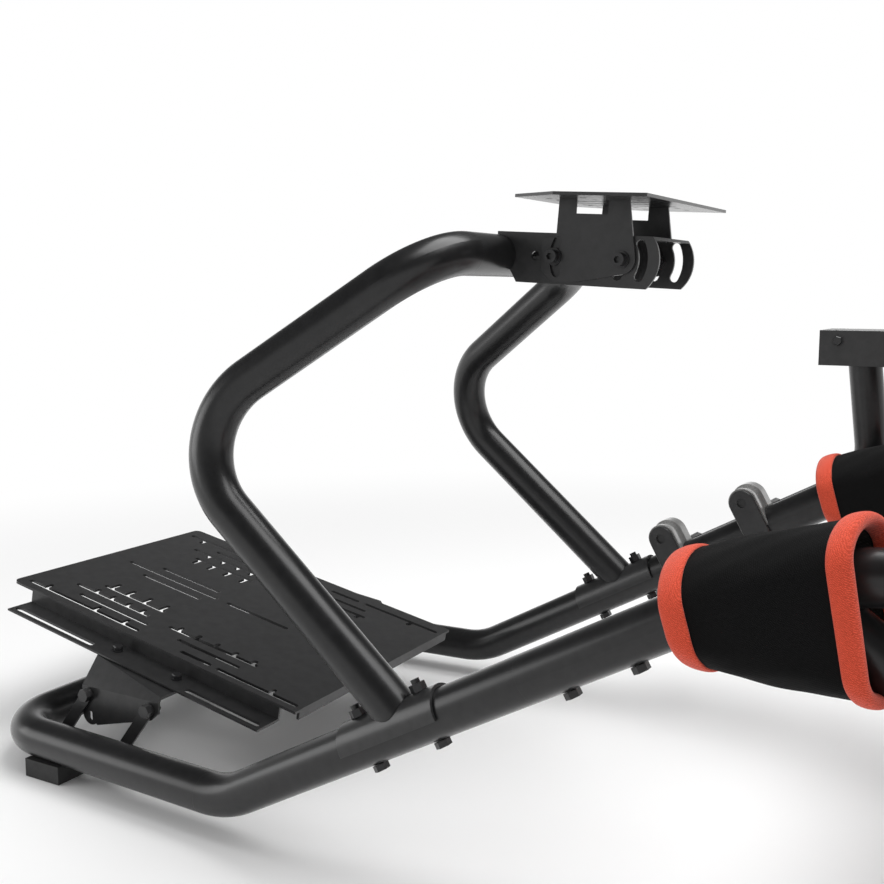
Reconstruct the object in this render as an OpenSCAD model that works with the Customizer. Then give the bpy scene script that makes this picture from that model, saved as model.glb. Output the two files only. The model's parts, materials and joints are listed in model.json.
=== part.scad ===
// Sim racing cockpit: a bent-tube frame with a wheel deck, a pedal deck, a shifter arm and a sling seat.
// +X points to the seat, -X to the pedals, +Z up, and the driver's left is -Y. The floor is z = 0.

/* [Frame tube] */
// Outer diameter of every main tube
tube_d = 42; // [38:0.5:45]
// Wall thickness of the main tubes
tube_wall = 2; // [1.5:0.5:3]
// Distance between the left and right rail centre lines
rail_spacing = 540; // [520:5:580]
// Height of the front bow's centre line above the floor
bow_z = 38; // [36:1:44]
// Distance from the front bow's corner to the start of the rising rails
bow_length = 337; // [320:1:360]
// How much each side of the bow closes in towards its front corner
bow_taper = 17; // [5:1:25]
// Bend radius at the front corners of the bow
bow_bend = 65; // [60:1:75]
// Bend radius where the bow turns up into the rails
rail_bend = 100; // [80:5:130]
// Slope of the rising rails
rail_rise = 29; // [27:0.5:31]
// Distance along the rail to the joint between the front and the rear rail
joint_run = 368; // [360:1:380]

/* [Upright] */
// Distance along the rail to the upright's foot
upright_run = 238; // [230:1:246]
// Forward reach of the upright's lower bend ahead of the rail corner
upright_knee_x = 65; // [55:1:75]
// Height of the upright's lower bend
upright_knee_z = 390; // [370:1:410]
// Distance of the cross tube behind the rail corner
cross_x = 181; // [175:1:187]
// Height of the cross tube
cross_z = 564; // [560:1:572]
// Distance between the bends at the two ends of the cross tube
cross_spacing = 364; // [350:2:380]
// Bend radius of the upright
upright_bend = 80; // [70:1:90]
// Thickness of the half shell between rail and upright
saddle_t = 3; // [2:0.5:4]
// Length of the half shell
saddle_length = 110; // [106:1:116]

/* [Wheel deck] */
// Outer width of the wheel channel
channel_w = 108; // [100:1:116]
// Height of the wheel channel
channel_h = 49; // [49:1:52]
// Sheet thickness of the channel and the wheel bracket
sheet_t = 3; // [2:0.5:3]
// Slope of the channel, down towards the seat
deck_pitch = 3.3; // [0:0.1:5]
// Distance from the cross tube back to the tilt centre
deck_back = 98; // [96:1:104]
// Distance from the tilt centre to each deck bolt
deck_bolt_r = 34.5; // [33:0.5:36]
// Fore and aft step between the bolt positions
deck_step = 21; // [20:0.5:22]
// Half angle of the arc slots
slot_sweep = 26; // [22:1:26]
// Height of the wheel plate's lower face above the tilt centre
plate_rise = 54.5; // [53:0.5:60]
// Thickness of the wheel plate
wheel_plate_t = 3; // [3:0.5:5]
// Length of the wheel plate, front to back
wheel_plate_l = 150; // [145:1:160]
// Width of the wheel plate at its rear edge
wheel_plate_w = 246; // [240:2:260]
// Width of the wheel plate at its front edge
wheel_plate_front_w = 150; // [140:2:160]
// Diameter of the wheel plate's mounting holes
wheel_hole_d = 6.6; // [5.5:0.1:8]

/* [Pedal deck] */
// Width of the pedal plate
pedal_w = 330; // [320:2:340]
// Length of the pedal plate along its slope
pedal_l = 436; // [430:2:444]
// Thickness of the pedal plate
pedal_t = 3; // [2:0.5:4]
// Slope of the pedal plate, up towards the front
pedal_rise = 11.5; // [10.5:0.5:12]
// Height of the pedal plate's rear edge
pedal_rear_z = 88; // [84:1:92]
// Length of the flanged strips under the pedal plate
strip_l = 382; // [370:2:390]
// Depth of the strips' web
strip_h = 18; // [16:1:20]
// Width of the strips' lower flange
strip_flange = 35; // [32:1:38]
// Width of the slots in the pedal plate
slot_w = 6; // [5:0.5:7]

/* [Bolts] */
// Diameter of the deck, rail and bracket bolts
bolt_d = 8; // [8:0.5:8.5]
// Width across flats of the hexagon heads and nuts
hex_af = 13; // [13:0.5:14]

/* [Shifter] */
// Distance of the shifter arm outside the right rail
shifter_out = 66; // [62:1:70]
// Distance of the shifter arm's bend behind the rail corner
shifter_x = 490; // [484:1:496]
// Height of the shifter bracket's top
shifter_z = 483; // [470:1:500]
// Diameter of the shifter arm
shifter_d = 38; // [36:1:38]
// Bend radius of the shifter arm
shifter_bend = 60; // [56:1:70]
// Forward lean of the shifter post
shifter_lean = 6.8; // [4:0.2:9]

/* [Seat] */
// Distance of the seat bend's corner behind the rail corner
seat_corner_x = 538; // [530:1:546]
// Bend radius between rail and seat tube
seat_bend = 300; // [280:5:310]
// Distance of the backrest's foot behind the rail corner
back_x = 800; // [780:5:820]
// Height of the backrest's top tube
back_top_z = 950; // [930:5:980]
// Lean of the backrest from upright
back_lean = 18; // [14:1:22]
// Distance between the backrest's top bends
back_spacing = 400; // [380:5:420]
// Bend radius of the backrest
back_bend = 90; // [85:1:100]
// Outer diameter of the sleeve's front end
sleeve_d = 90; // [86:1:94]
// Outer width of the sleeve's rear end
sleeve_rear_d = 74; // [72:1:80]
// Thickness of the seat fabric's padding
fabric_t = 6; // [5:0.5:7]
// Sag of the sling between the seat tubes
seat_sag = 34; // [20:1:45]

/* [Rear stand] */
// Distance of the stand's floor tube behind the rail corner
stand_x = 912; // [890:1:930]
// Distance of the stand's upper end behind the rail corner
stand_top_x = 530; // [520:1:540]
// Height of the stand's upper end
stand_top_z = 322; // [318:1:326]
// Bend radius of the stand
stand_bend = 90; // [80:5:100]
// Height of the foot blocks
foot_h = 17; // [12:1:17]

/* [Hidden] */
$fn = 64;

tube_r = tube_d / 2;
rail_y = rail_spacing / 2;
bow_y = rail_y - bow_taper;
play = 0.3;
seam = 0.01;
run_clear = 0.5;
seat_z = bow_z + seat_corner_x * tan(rail_rise);
// Half the overall length and width decide where the object's middle lies
front_reach = 423.2;
rear_reach = back_x + (back_top_z - seat_z) * tan(back_lean) + tube_r;
centre_shift = (front_reach - rear_reach) / 2;
left_reach = rail_y + sleeve_d / 2;
right_reach = rail_y + shifter_out + 36;
lateral_shift = (left_reach - right_reach) / 2;
steel = [0.13, 0.13, 0.135];
zinc = [0.2, 0.2, 0.2];
rubber = [0.07, 0.07, 0.07];
cloth = [0.06, 0.06, 0.065];

function unit(v) = v / norm(v);
function rail_point(run) = [run * cos(rail_rise), 0, bow_z + run * sin(rail_rise)];
function rail_at(run, side) = rail_point(run) + [0, side * rail_y, 0];
// Tangent length that a bend of radius r takes from both legs at corner b
function tangent(a, b, c, r) = r * tan((180 - acos(unit(a - b) * unit(c - b))) / 2);

// Places its children with their Z axis along z and their X axis along x, at point p
module placed(p, x, z) {
    y = cross(z, x);
    multmatrix([
        [x[0], y[0], z[0], p[0]],
        [x[1], y[1], z[1], p[1]],
        [x[2], y[2], z[2], p[2]],
        [0, 0, 0, 1]]) children();
}
module ring(d, wall) {
    difference() {
        circle(d = d);
        circle(d = d - 2 * wall);
    }
}
// A direction square to z
function square_to(z) = unit(cross(z, abs(z[2]) < 0.9 ? [0, 0, 1] : [0, 1, 0]));
module straight_tube(a, b, d, wall) {
    z = unit(b - a);
    placed(a, square_to(z), z) linear_extrude(norm(b - a)) ring(d, wall);
}
// A tube along points, with bends of the given radii at the inner points; wall 0 makes it solid
module bent_tube(points, radii, d, wall) {
    z = unit(points[1] - points[0]);
    x = norm(cross(z, [0, 0, 1])) < 0.1 ? [0, 1, 0] : square_to(z);
    placed(points[0], x, z) tube_from(points, radii, 0, x, d, wall);
}
// The tube from point i on, drawn along Z, with x as its X axis
module tube_from(points, radii, i, x, d, wall) {
    last = len(points) - 1;
    z = unit(points[i + 1] - points[i]);
    cut_in = i == 0 ? 0 : tangent(points[i - 1], points[i], points[i + 1], radii[i - 1]);
    cut_out = i + 1 == last ? 0 : tangent(points[i], points[i + 1], points[i + 2], radii[i]);
    l = norm(points[i + 1] - points[i]) - cut_in - cut_out;
    if (l > 0.01) translate([0, 0, i == 0 ? 0 : seam])
        linear_extrude(l - (i == 0 ? seam : 2 * seam)) tube_profile(d, wall);
    if (i + 1 < last) {
        next = unit(points[i + 2] - points[i + 1]);
        turn = acos(z * next);
        inward = unit(next - z * (next * z));
        r = radii[i];
        translate([0, 0, l > 0.01 ? l : 0]) rotate([0, 0, atan2(inward * cross(z, x), inward * x)])
            translate([r, 0, 0]) {
                rotate([90, 0, 180]) rotate_extrude(angle = turn) translate([r, 0]) tube_profile(d, wall);
                rotate([0, turn, 0]) translate([-r, 0, 0])
                    tube_from(points, radii, i + 1, inward * cos(turn) - z * sin(turn), d, wall);
            }
    }
}
module tube_profile(d, wall) {
    if (wall > 0) ring(d, wall);
    else circle(d = d);
}
module bar(a, b, d) {
    z = unit(b - a);
    placed(a, square_to(z), z) cylinder(d = d, h = norm(b - a));
}
module hex(d, h) {
    cylinder(d = d / cos(30), h = h, $fn = 6);
}
module on_both_sides() {
    children();
    mirror([0, 1, 0]) children();
}
// Drawn for the right side, mirrored for the left
module sided(side) {
    if (side > 0) children();
    else mirror([0, 1, 0]) children();
}
// Everything is shifted so that the object's middle lies over the origin
module cockpit() {
    translate([centre_shift, lateral_shift, 0]) children();
}

// The bow's corner points on one side
function corner_front(side) = [-bow_length, side * bow_y, bow_z];
function corner_rail(side) = [0, side * rail_y, bow_z];
rail_cut = tangent(corner_front(1), corner_rail(1), rail_at(joint_run, 1), rail_bend);
bow_end = corner_rail(1) + unit(corner_front(1) - corner_rail(1)) * rail_cut;

// The pedal struts: their top bolts, and their lower bolts in bosses on the bow's inner side
strut_l = 66;
strut_lean = 38;
strut_y = rail_y - 48.5;
strut_tops = [[-239, 84.5], [-148, 83.3]];
function strut_low(top) = top + strut_l * [-sin(strut_lean), -cos(strut_lean)];
module front_bow() {
    color(steel) cockpit() {
        bent_tube([[bow_end[0], -bow_end[1], bow_z], corner_front(-1), corner_front(1), bow_end],
            [bow_bend, bow_bend], tube_d, tube_wall);
        for (top = strut_tops, side = [-1, 1]) strut_boss(strut_low(top), side);
    }
}
// A boss from the strut's outer face to the bow's wall
module strut_boss(at, side) {
    bow_here = bow_y + bow_taper * (1 + at[0] / bow_length);
    reach = bow_here - tube_r + 6 - (strut_y + 3.3);
    translate([at[0], side * (strut_y + 3.3), at[1]]) rotate([side * -90, 0, 0]) difference() {
        cylinder(d = 16, h = reach);
        translate([0, 0, -1]) cylinder(d = bolt_d + run_clear, h = 9);
    }
}

// Bolts through the rail: two hold the saddle, two hold the telescopic joint
saddle_run = upright_run - 10;
saddle_bolt_runs = [saddle_run - 36, saddle_run + 36];
joint_bolt_runs = [joint_run + 32, joint_run + 96];
spigot_d = tube_d - 2 * tube_wall - 2 * play;
module through_rail(runs, side, d, low, high) {
    up = [-sin(rail_rise), 0, cos(rail_rise)];
    for (run = runs) bar(rail_at(run, side) + up * low, rail_at(run, side) + up * high, d);
}
module rail(side) {
    color(steel) cockpit() difference() {
        union() {
            bent_tube([[bow_end[0], side * bow_end[1], bow_z], corner_rail(side), rail_at(joint_run, side)],
                [rail_bend], tube_d, tube_wall);
            straight_tube(rail_at(joint_run, side), rail_at(joint_run + 120, side), spigot_d, tube_wall);
            straight_tube(rail_at(joint_run - 6, side), rail_at(joint_run, side), tube_d - tube_wall,
                1.5 * tube_wall + play);
        }
        through_rail(saddle_bolt_runs, side, bolt_d + run_clear, -tube_d, tube_d);
        through_rail(joint_bolt_runs, side, bolt_d + run_clear, -tube_d, 0);
    }
}
// Two long bolts through saddle and rail, and two short ones from below into the joint
module rail_bolts(side) {
    up = [-sin(rail_rise), 0, cos(rail_rise)];
    top = tube_r + play + saddle_t;
    color(zinc) cockpit() {
        through_rail(saddle_bolt_runs, side, bolt_d, -tube_r - 6, top + 11);
        for (run = saddle_bolt_runs) placed(rail_at(run, side) + up * top, [0, 1, 0], up) hex(hex_af, 7);
        through_rail(joint_bolt_runs, side, bolt_d, -tube_r - 6, -8);
        for (run = concat(saddle_bolt_runs, joint_bolt_runs))
            placed(rail_at(run, side) - up * (tube_r + 6), [0, 1, 0], up) hex(hex_af, 6 - play);
    }
}

// Foot blocks under the bow's front corners
foot_w = 40;
foot_l = 51;
module front_foot(side) {
    color(steel) cockpit() difference() {
        translate([54 - bow_length, side * (rail_y - 15) - foot_w / 2, 0]) cube([foot_l, foot_w, foot_h + 3]);
        bar(corner_front(side), corner_rail(side), tube_d + 2 * play);
    }
}

// Half shell on top of the rail, with the upright standing on it
module saddle(side) {
    inner = tube_r + play;
    along = [cos(rail_rise), 0, sin(rail_rise)];
    up = [-sin(rail_rise), 0, cos(rail_rise)];
    color(steel) cockpit() difference() {
        placed(rail_at(saddle_run - saddle_length / 2, side), up, along) linear_extrude(saddle_length)
            difference() {
                circle(r = inner + saddle_t);
                circle(r = inner);
                translate([-2 * tube_d - 2, -tube_d]) square([2 * tube_d, 2 * tube_d]);
            }
        through_rail(saddle_bolt_runs, side, bolt_d + run_clear, 0, tube_d);
    }
}

function upright_foot(side) = rail_at(upright_run, side);
function upright_knee(side) = [-upright_knee_x, side * (rail_y - 4), upright_knee_z];
function cross_corner(side) = [cross_x, side * cross_spacing / 2, cross_z];
cross_cut = tangent(upright_knee(1), cross_corner(1), cross_corner(-1), upright_bend);
cross_half = cross_spacing / 2 - cross_cut;
module upright(side) {
    along = [cos(rail_rise), 0, sin(rail_rise)];
    color(steel) cockpit() difference() {
        bent_tube([upright_foot(side), upright_knee(side), cross_corner(side),
            [cross_x, side * cross_half, cross_z]], [upright_bend, upright_bend], tube_d, tube_wall);
        placed(rail_at(upright_run - 80, side), [0, 1, 0], along)
            cylinder(r = tube_r + saddle_t + 2 * play, h = 160);
    }
}
module wheel_cross_tube() {
    color(steel) cockpit()
        straight_tube([cross_x, -cross_half, cross_z], [cross_x, cross_half, cross_z], tube_d, tube_wall);
}

// The wheel deck's own frame: u runs back along the channel, w stands square to it
tilt_centre = [cross_x + deck_back, 0, cross_z - 4];
channel_top = channel_h - 26.5;
channel_end_r = 36.5;
bracket_gap = 0.3;
module deck_frame() {
    translate(tilt_centre) rotate([0, deck_pitch, 0]) children();
}
// Extrudes a side outline, drawn with u to the right and w up, from y = low to y = high
module across(low, high) {
    translate([0, high, 0]) rotate([90, 0, 0]) linear_extrude(high - low) children();
}
// An arc slot of the tilt's radius about a centre at u, on the front or the rear side of it
module arc_slot(u, front) {
    turn = front ? 180 : 0;
    translate([u, 0, 0]) rotate([90, 0, 0]) rotate([0, 0, turn]) {
        for (a = [-slot_sweep, slot_sweep]) rotate([0, 0, a]) translate([deck_bolt_r, 0, -channel_w])
            cylinder(d = bolt_d + 1, h = 2 * channel_w);
        rotate([0, 0, -slot_sweep]) translate([0, 0, -channel_w])
            rotate_extrude(angle = 2 * slot_sweep)
                translate([deck_bolt_r - (bolt_d + 1) / 2, 0]) square([bolt_d + 1, 2 * channel_w]);
    }
}
module deck_hole(u, d) {
    translate([u, channel_w, 0]) rotate([90, 0, 0]) cylinder(d = d, h = 2 * channel_w);
}
module wheel_channel() {
    half = channel_w / 2;
    color(steel) cockpit() difference() {
        deck_frame() difference() {
            intersection() {
                across(-half, half) union() {
                    polygon([[-deck_back, channel_top], [deck_bolt_r + 20, channel_top],
                        [deck_bolt_r + 20, channel_top - channel_h], [-75, channel_top - channel_h],
                        [-84, -12], [-deck_back, -12]]);
                    intersection() {
                        translate([deck_bolt_r, 0]) circle(r = channel_end_r);
                        translate([deck_bolt_r, channel_top - channel_h]) square([60, channel_h]);
                    }
                }
                translate([-120, 0, 0]) rotate([90, 0, 90]) linear_extrude(240) difference() {
                    translate([-half, channel_top - channel_h]) square([channel_w, channel_h]);
                    translate([-half + sheet_t, channel_top - channel_h - 1])
                        square([channel_w - 2 * sheet_t, channel_h + 1 - sheet_t]);
                }
            }
            for (step = [-1, 0, 1]) {
                arc_slot(step * deck_step, false);
                deck_hole(step * deck_step - deck_bolt_r, bolt_d + run_clear);
            }
        }
        translate([cross_x, 0, cross_z]) rotate([90, 0, 0])
            cylinder(r = tube_r + 0.05, h = 2 * channel_w, center = true);
    }
}
// One socket screw through a cheek at u, with its washer outside and its nut inside
module deck_bolt(u, side) {
    cheek_in = channel_w / 2 - sheet_t;
    cheek_out = channel_w / 2 + bracket_gap + sheet_t;
    rotate([side * -90, 0, 0]) translate([u, 0, 0]) {
        translate([0, 0, cheek_in - 12]) cylinder(d = bolt_d, h = cheek_out - cheek_in + 14);
        translate([0, 0, cheek_in - 7]) hex(hex_af, 6.8);
        translate([0, 0, cheek_out + 0.1]) cylinder(d = 17, h = 1.6);
        translate([0, 0, cheek_out + 1.7]) difference() {
            cylinder(d = hex_af, h = 8);
            translate([0, 0, 4]) hex(6, 5);
        }
    }
}
module channel_bolts() {
    color(zinc) cockpit() deck_frame() for (side = [-1, 1]) deck_bolt(-deck_bolt_r, side);
}
module bracket_bolts() {
    color(zinc) cockpit() deck_frame() for (side = [-1, 1]) deck_bolt(deck_bolt_r, side);
}
// Outline of the bracket's cheek: two tabs under the plate, lobes round both bolts
module cheek_outline() {
    difference() {
        union() {
            polygon([[-32, plate_rise], [-33, 18], [-deck_bolt_r - 13, 18], [-deck_bolt_r - 13, -14],
                [-34, -24], [-14, -24], [deck_bolt_r + 4, -13.5], [deck_bolt_r + 14, 2], [39, plate_rise]]);
            translate([deck_bolt_r, 0]) circle(r = 14);
        }
        translate([-14.5, 41.5]) square([33, 20]);
    }
}
module wheel_bracket() {
    inner = channel_w / 2 + bracket_gap;
    color(steel) cockpit() deck_frame() on_both_sides() difference() {
        across(inner, inner + sheet_t) cheek_outline();
        arc_slot(0, true);
        deck_hole(deck_bolt_r, bolt_d + run_clear);
    }
}
wheel_holes_u = [-40, 4, 48];
wheel_holes_y = [55, 85];
module wheel_plate() {
    front = -wheel_plate_l / 2 + 4;
    rear = front + wheel_plate_l;
    color(steel) cockpit() deck_frame() translate([0, 0, plate_rise]) linear_extrude(wheel_plate_t)
        difference() {
            polygon([[front, -wheel_plate_front_w / 2], [-10, -wheel_plate_w / 2], [rear, -wheel_plate_w / 2],
                [rear, wheel_plate_w / 2], [-10, wheel_plate_w / 2], [front, wheel_plate_front_w / 2]]);
            for (u = wheel_holes_u, y = wheel_holes_y, side = [-1, 1])
                translate([u, side * y * (u < -20 ? 0.75 : 1)]) circle(d = wheel_hole_d);
            for (y = [-30, 0, 30]) translate([-45, y - 3]) square([100, 6]);
        }
}

// The pedal deck's own frame: u runs forward up the slope from the rear edge
module pedal_frame() {
    translate([4, 0, pedal_rear_z]) rotate([0, pedal_rise, 0]) mirror([1, 0, 0]) children();
}
// A straight slot from u to u + l at y, with branches at the given places
module long_slot(u, l, y, branches, reach) {
    translate([u, y - slot_w / 2]) square([l, slot_w]);
    for (end = [u, u + l]) translate([end, y]) circle(d = slot_w);
    for (b = branches) {
        translate([u + b - slot_w / 2, min(y, y + reach)]) square([slot_w, abs(reach)]);
        translate([u + b, y + reach]) circle(d = slot_w);
    }
}
// The slot pattern's middle lies a little to the driver's left
module pedal_slots() {
    translate([0, -5]) {
        on_both_sides() {
            long_slot(243, 178, -145, [25, 72, 154], 10);
            long_slot(265, 116, -106.5, [12, 36, 62, 88], 8);
            long_slot(248, 108, -125, [], 0);
            long_slot(262, 95, -83, [6, 34, 62, 88], 15);
            long_slot(96, 128, -109, [6, 34, 62, 90, 118], 8);
            long_slot(107, 87, -127, [], 0);
            long_slot(131, 40, -147, [], 0);
            long_slot(9, 108, -148, [36], 9);
            long_slot(263, 93, -18.5, [], 0);
        }
        long_slot(250, 148, 0, [], 0);
        long_slot(137, 92, 0, [], 0);
    }
}
module pedal_plate() {
    color(steel) cockpit() pedal_frame() {
        linear_extrude(pedal_t) difference() {
            union() {
                translate([0, -pedal_w / 2]) square([pedal_l - 8, pedal_w]);
                translate([pedal_l - 8, -pedal_w / 2 + 8]) square([8, pedal_w - 16]);
                for (side = [-1, 1]) translate([pedal_l - 8, side * (pedal_w / 2 - 8)]) circle(r = 8);
            }
            pedal_slots();
        }
        translate([0, -pedal_w / 2 + 8, -9]) cube([pedal_t, pedal_w - 16, 9]);
    }
}
strip_web_y = pedal_w / 2 - 2;
strip_start = 22;
// Flanged strip under one edge of the pedal plate
module pedal_strip(side) {
    color(steel) cockpit() pedal_frame() translate([strip_start, 0, 0]) sided(side) difference() {
        union() {
            translate([0, strip_web_y - 3, -strip_h]) cube([strip_l, 3, strip_h]);
            translate([0, strip_web_y - 18, -3]) cube([strip_l, 15, 3]);
            translate([0, strip_web_y, -strip_h]) cube([strip_l, strip_flange, 3]);
        }
        for (slot = [[4, 105], [249, 129]])
            translate([slot[0], strip_web_y + 21, -strip_h - 1]) cube([slot[1], 8, 5]);
    }
}
// Bent bracket that carries the strip: a tab under its flange, a leaning plate and an upright cheek
cheek_y = rail_y - 52;
fold_z = 93;
bracket_front = -249;
bracket_rear = -135;
module below_flange() {
    pedal_frame() translate([0, -rail_spacing, -strip_h - 200]) cube([pedal_l, 2 * rail_spacing, 200]);
}
// Extrudes a profile, drawn with y to the right and z up, along the bracket's length
module bracket_run() {
    translate([bracket_front, 0, 0]) rotate([90, 0, 90]) linear_extrude(bracket_rear - bracket_front)
        children();
}
lean_top = [cheek_y - 48, fold_z + 56];
module bracket_sheet() {
    intersection() {
        bracket_run() polygon([[cheek_y, fold_z], [cheek_y + 3, fold_z], [lean_top[0] + 3, lean_top[1]],
            lean_top]);
        below_flange();
    }
    intersection() {
        below_flange();
        pedal_frame() translate([100, 0, -strip_h - 3]) cube([240, rail_y, 3]);
        bracket_run() polygon([[strip_web_y + 4, 0], [cheek_y, 0], [cheek_y, fold_z], lean_top,
            [strip_web_y + 4, 200]]);
    }
    translate([0, cheek_y + 3, 0]) rotate([90, 0, 0]) linear_extrude(3) difference() {
        union() {
            polygon([[bracket_front, fold_z], [bracket_rear, fold_z], [bracket_rear - 1, 80], [-147, 71],
                [-228, 50], [bracket_front, 64]]);
            translate([-237, 61]) circle(r = 12);
        }
        for (top = strut_tops) translate(top) circle(d = bolt_d + run_clear);
        translate([-238, 62]) circle(d = 6);
        translate([-241, 56]) square([6, 6]);
        translate([-238, 56]) circle(d = 6);
    }
}
module pedal_bracket(side) {
    color(steel) cockpit() sided(side) bracket_sheet();
}
// Two flat struts with the bolts that hold them to the bracket and to the bow's bosses
module pedal_struts(side) {
    color(steel) cockpit() sided(side) for (top = strut_tops) {
        low = strut_low(top);
        translate([0, strut_y + 3, 0]) rotate([90, 0, 0]) linear_extrude(3) union() {
            for (end = [top, low]) translate(end) circle(d = 14);
            translate(top) rotate(-90 - strut_lean) translate([0, -7]) square([strut_l, 14]);
        }
        translate([top[0], strut_y + 3, top[1]]) rotate([-90, 0, 0]) hex(hex_af, 6);
        translate([top[0], strut_y, top[1]]) rotate([90, 0, 0]) cylinder(d = bolt_d, h = 12);
        translate([top[0], cheek_y - play, top[1]]) rotate([90, 0, 0]) hex(hex_af, 6.5);
        translate([low[0], strut_y, low[1]]) rotate([90, 0, 0]) hex(hex_af, 6);
        translate([low[0], strut_y + 3, low[1]]) rotate([-90, 0, 0]) cylinder(d = bolt_d, h = 8);
    }
}

// Clamp over the right rail and the shifter arm beside it, with a cross bolt through its ears
ear_r = 15;
ear_h = 37.5;
ear_t = 4;
band_r = 17;
band_end_h = 42;
clamp_runs = [joint_run - 51, joint_run + 61];
module rail_clamp(run) {
    in_y = tube_r + play;
    along = [cos(rail_rise), 0, sin(rail_rise)];
    up = [-sin(rail_rise), 0, cos(rail_rise)];
    color(steel) cockpit() placed(rail_at(run, 1), along, up) {
        difference() {
            union() {
                band(-in_y - ear_t, -in_y, ear_r, -12);
                band(-in_y, shifter_out / 2, band_r, 0);
                translate([-25, shifter_out / 2, 0]) cube([50, shifter_out / 2 + 5, band_end_h]);
            }
            rotate([0, 90, 0]) cylinder(r = in_y, h = 80, center = true);
            translate([0, shifter_out, 0]) rotate([0, 90, 0])
                cylinder(r = shifter_d / 2 + play, h = 80, center = true);
        }
        translate([0, -in_y - ear_t, ear_h]) rotate([90, 0, 0]) difference() {
            cylinder(d = hex_af, h = 8);
            translate([0, 0, 4]) hex(6, 5);
        }
    }
}
// A block from y = low to y = high with a rounded top
module band(low, high, r, bottom) {
    translate([0, high, 0]) rotate([90, 0, 0]) linear_extrude(high - low) union() {
        translate([-r, bottom]) square([2 * r, ear_h - bottom]);
        translate([0, ear_h]) circle(r = r);
    }
}

// Shifter: an arm beside the right rail that bends up into a post, with an inverted tray on top
shifter_y = rail_y + shifter_out;
arm_start = rail_point(290) + [0, shifter_y, 0];
arm_corner = [shifter_x, shifter_y, bow_z + shifter_x * tan(rail_rise)];
post_rise = shifter_z - 3.3 - arm_corner[2];
tray_l = 106;
tray_w = 72;
tray_h = 41;
tray_front = shifter_x - 63;
module shifter_arm() {
    color(steel) cockpit() difference() {
        bent_tube([arm_start, arm_corner, arm_corner + [-tan(shifter_lean), 0, 1] * (post_rise + 10)],
            [shifter_bend], shifter_d, tube_wall);
        translate([tray_front - 100, 0, shifter_z - 3.3]) cube([400, 600, 400]);
    }
}
module shifter_bracket() {
    color(steel) cockpit() translate([tray_front, shifter_y - 36, shifter_z - tray_h]) difference() {
        cube([tray_l, tray_w, tray_h]);
        translate([-1, sheet_t, -1]) cube([tray_l + 2, tray_w - 2 * sheet_t, tray_h + 1 - sheet_t]);
        for (x = [16, 90], y = [16, 56]) translate([x, y, 30]) cylinder(d = 6.6, h = 20);
    }
}

// The seat tubes: the bend under the sleeves, the level run and the backrest
function seat_pt(side) = [seat_corner_x, side * rail_y, seat_z];
function back_foot(side) = [back_x, side * rail_y, seat_z];
function back_top(side) = [rear_reach - tube_r, side * back_spacing / 2, back_top_z];
top_cut = tangent(back_foot(1), back_top(1), back_top(-1), back_bend);
function back_over(side) = back_top(side) - [0, side * top_cut, 0];
back_cut = tangent(seat_pt(1), back_foot(1), back_top(1), back_bend);
function seat_end(side) = back_foot(side) - [back_cut, 0, 0];
module seat_rail(side) {
    color(steel) cockpit() difference() {
        bent_tube([rail_at(joint_run, side), seat_pt(side), seat_end(side)], [seat_bend], tube_d, tube_wall);
        through_rail(joint_bolt_runs, side, bolt_d + run_clear, -tube_d, 0);
    }
}
// The bend between rail and seat tube as a solid, for pieces that are coped to it
module bend_solid(side, grow) {
    bent_tube([rail_at(joint_run, side), seat_pt(side), seat_end(side)], [seat_bend], tube_d + 2 * grow, 0);
}
module back_post(side) {
    color(steel) cockpit() bent_tube([seat_end(side), back_foot(side), back_top(side), back_over(side)],
        [back_bend, back_bend], tube_d, tube_wall);
}
module back_top_tube() {
    color(steel) cockpit() straight_tube(back_over(-1), back_over(1), tube_d, tube_wall);
}

// Rear stand: two legs welded under the seat tubes, and a floor tube between them
stand_z = foot_h + tube_r;
function stand_top(side) = [stand_top_x, side * rail_y, stand_top_z];
function stand_corner(side) = [stand_x, side * rail_y, stand_z];
stand_cut = tangent(stand_top(1), stand_corner(1), stand_corner(-1), stand_bend);
stand_half = rail_y - stand_cut;
module stand_leg(side) {
    color(steel) cockpit() difference() {
        bent_tube([stand_top(side), stand_corner(side), [stand_x, side * stand_half, stand_z]],
            [stand_bend], tube_d, tube_wall);
        bend_solid(side, play);
    }
}
module stand_floor_tube() {
    color(steel) cockpit()
        straight_tube([stand_x, -stand_half, stand_z], [stand_x, stand_half, stand_z], tube_d, tube_wall);
}
stand_foot_y = 150;
module stand_feet() {
    color(steel) cockpit() for (side = [-1, 1]) difference() {
        translate([stand_x - 20, side * stand_foot_y - 25, 0]) cube([40, 50, foot_h + 3]);
        translate([stand_x, -rail_y, stand_z]) rotate([-90, 0, 0])
            cylinder(r = tube_r + play, h = rail_spacing);
    }
}

// Soft parts
sleeve_front = seat_corner_x - 78;
sleeve_rear = seat_corner_x + 37;
sleeve_drop = 57;
sleeve_front_z = bow_z + sleeve_front * tan(rail_rise);
sleeve_rear_z = seat_z - 2;
module sleeve_form(side, front_r, rear_r, over) {
    hull() {
        translate([sleeve_front - over, side * rail_y, sleeve_front_z]) rotate([0, 90, 0])
            cylinder(r = front_r, h = 1, $fn = 32);
        for (z = [sleeve_rear_z, sleeve_rear_z - sleeve_drop])
            translate([sleeve_rear - 1 + over, side * rail_y, z]) rotate([0, 90, 0])
                cylinder(r = rear_r, h = 1, $fn = 32);
    }
}
module sleeve(side) {
    color(cloth) cockpit() difference() {
        sleeve_form(side, sleeve_d / 2, sleeve_rear_d / 2, 0);
        sleeve_form(side, tube_r, sleeve_rear_d / 2 - fabric_t, 0.5);
        bend_solid(side, play);
    }
}
sling_half = rail_y + 6;
sling_front = sleeve_rear - 27;
sling_rear = back_x - 70;
function sling_z(y) = seat_z + tube_r + play - seat_sag * max(0, 1 - pow(y / (rail_y - 22), 2));
sling_steps = [for (i = [-8:8]) i * sling_half / 8];
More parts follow.
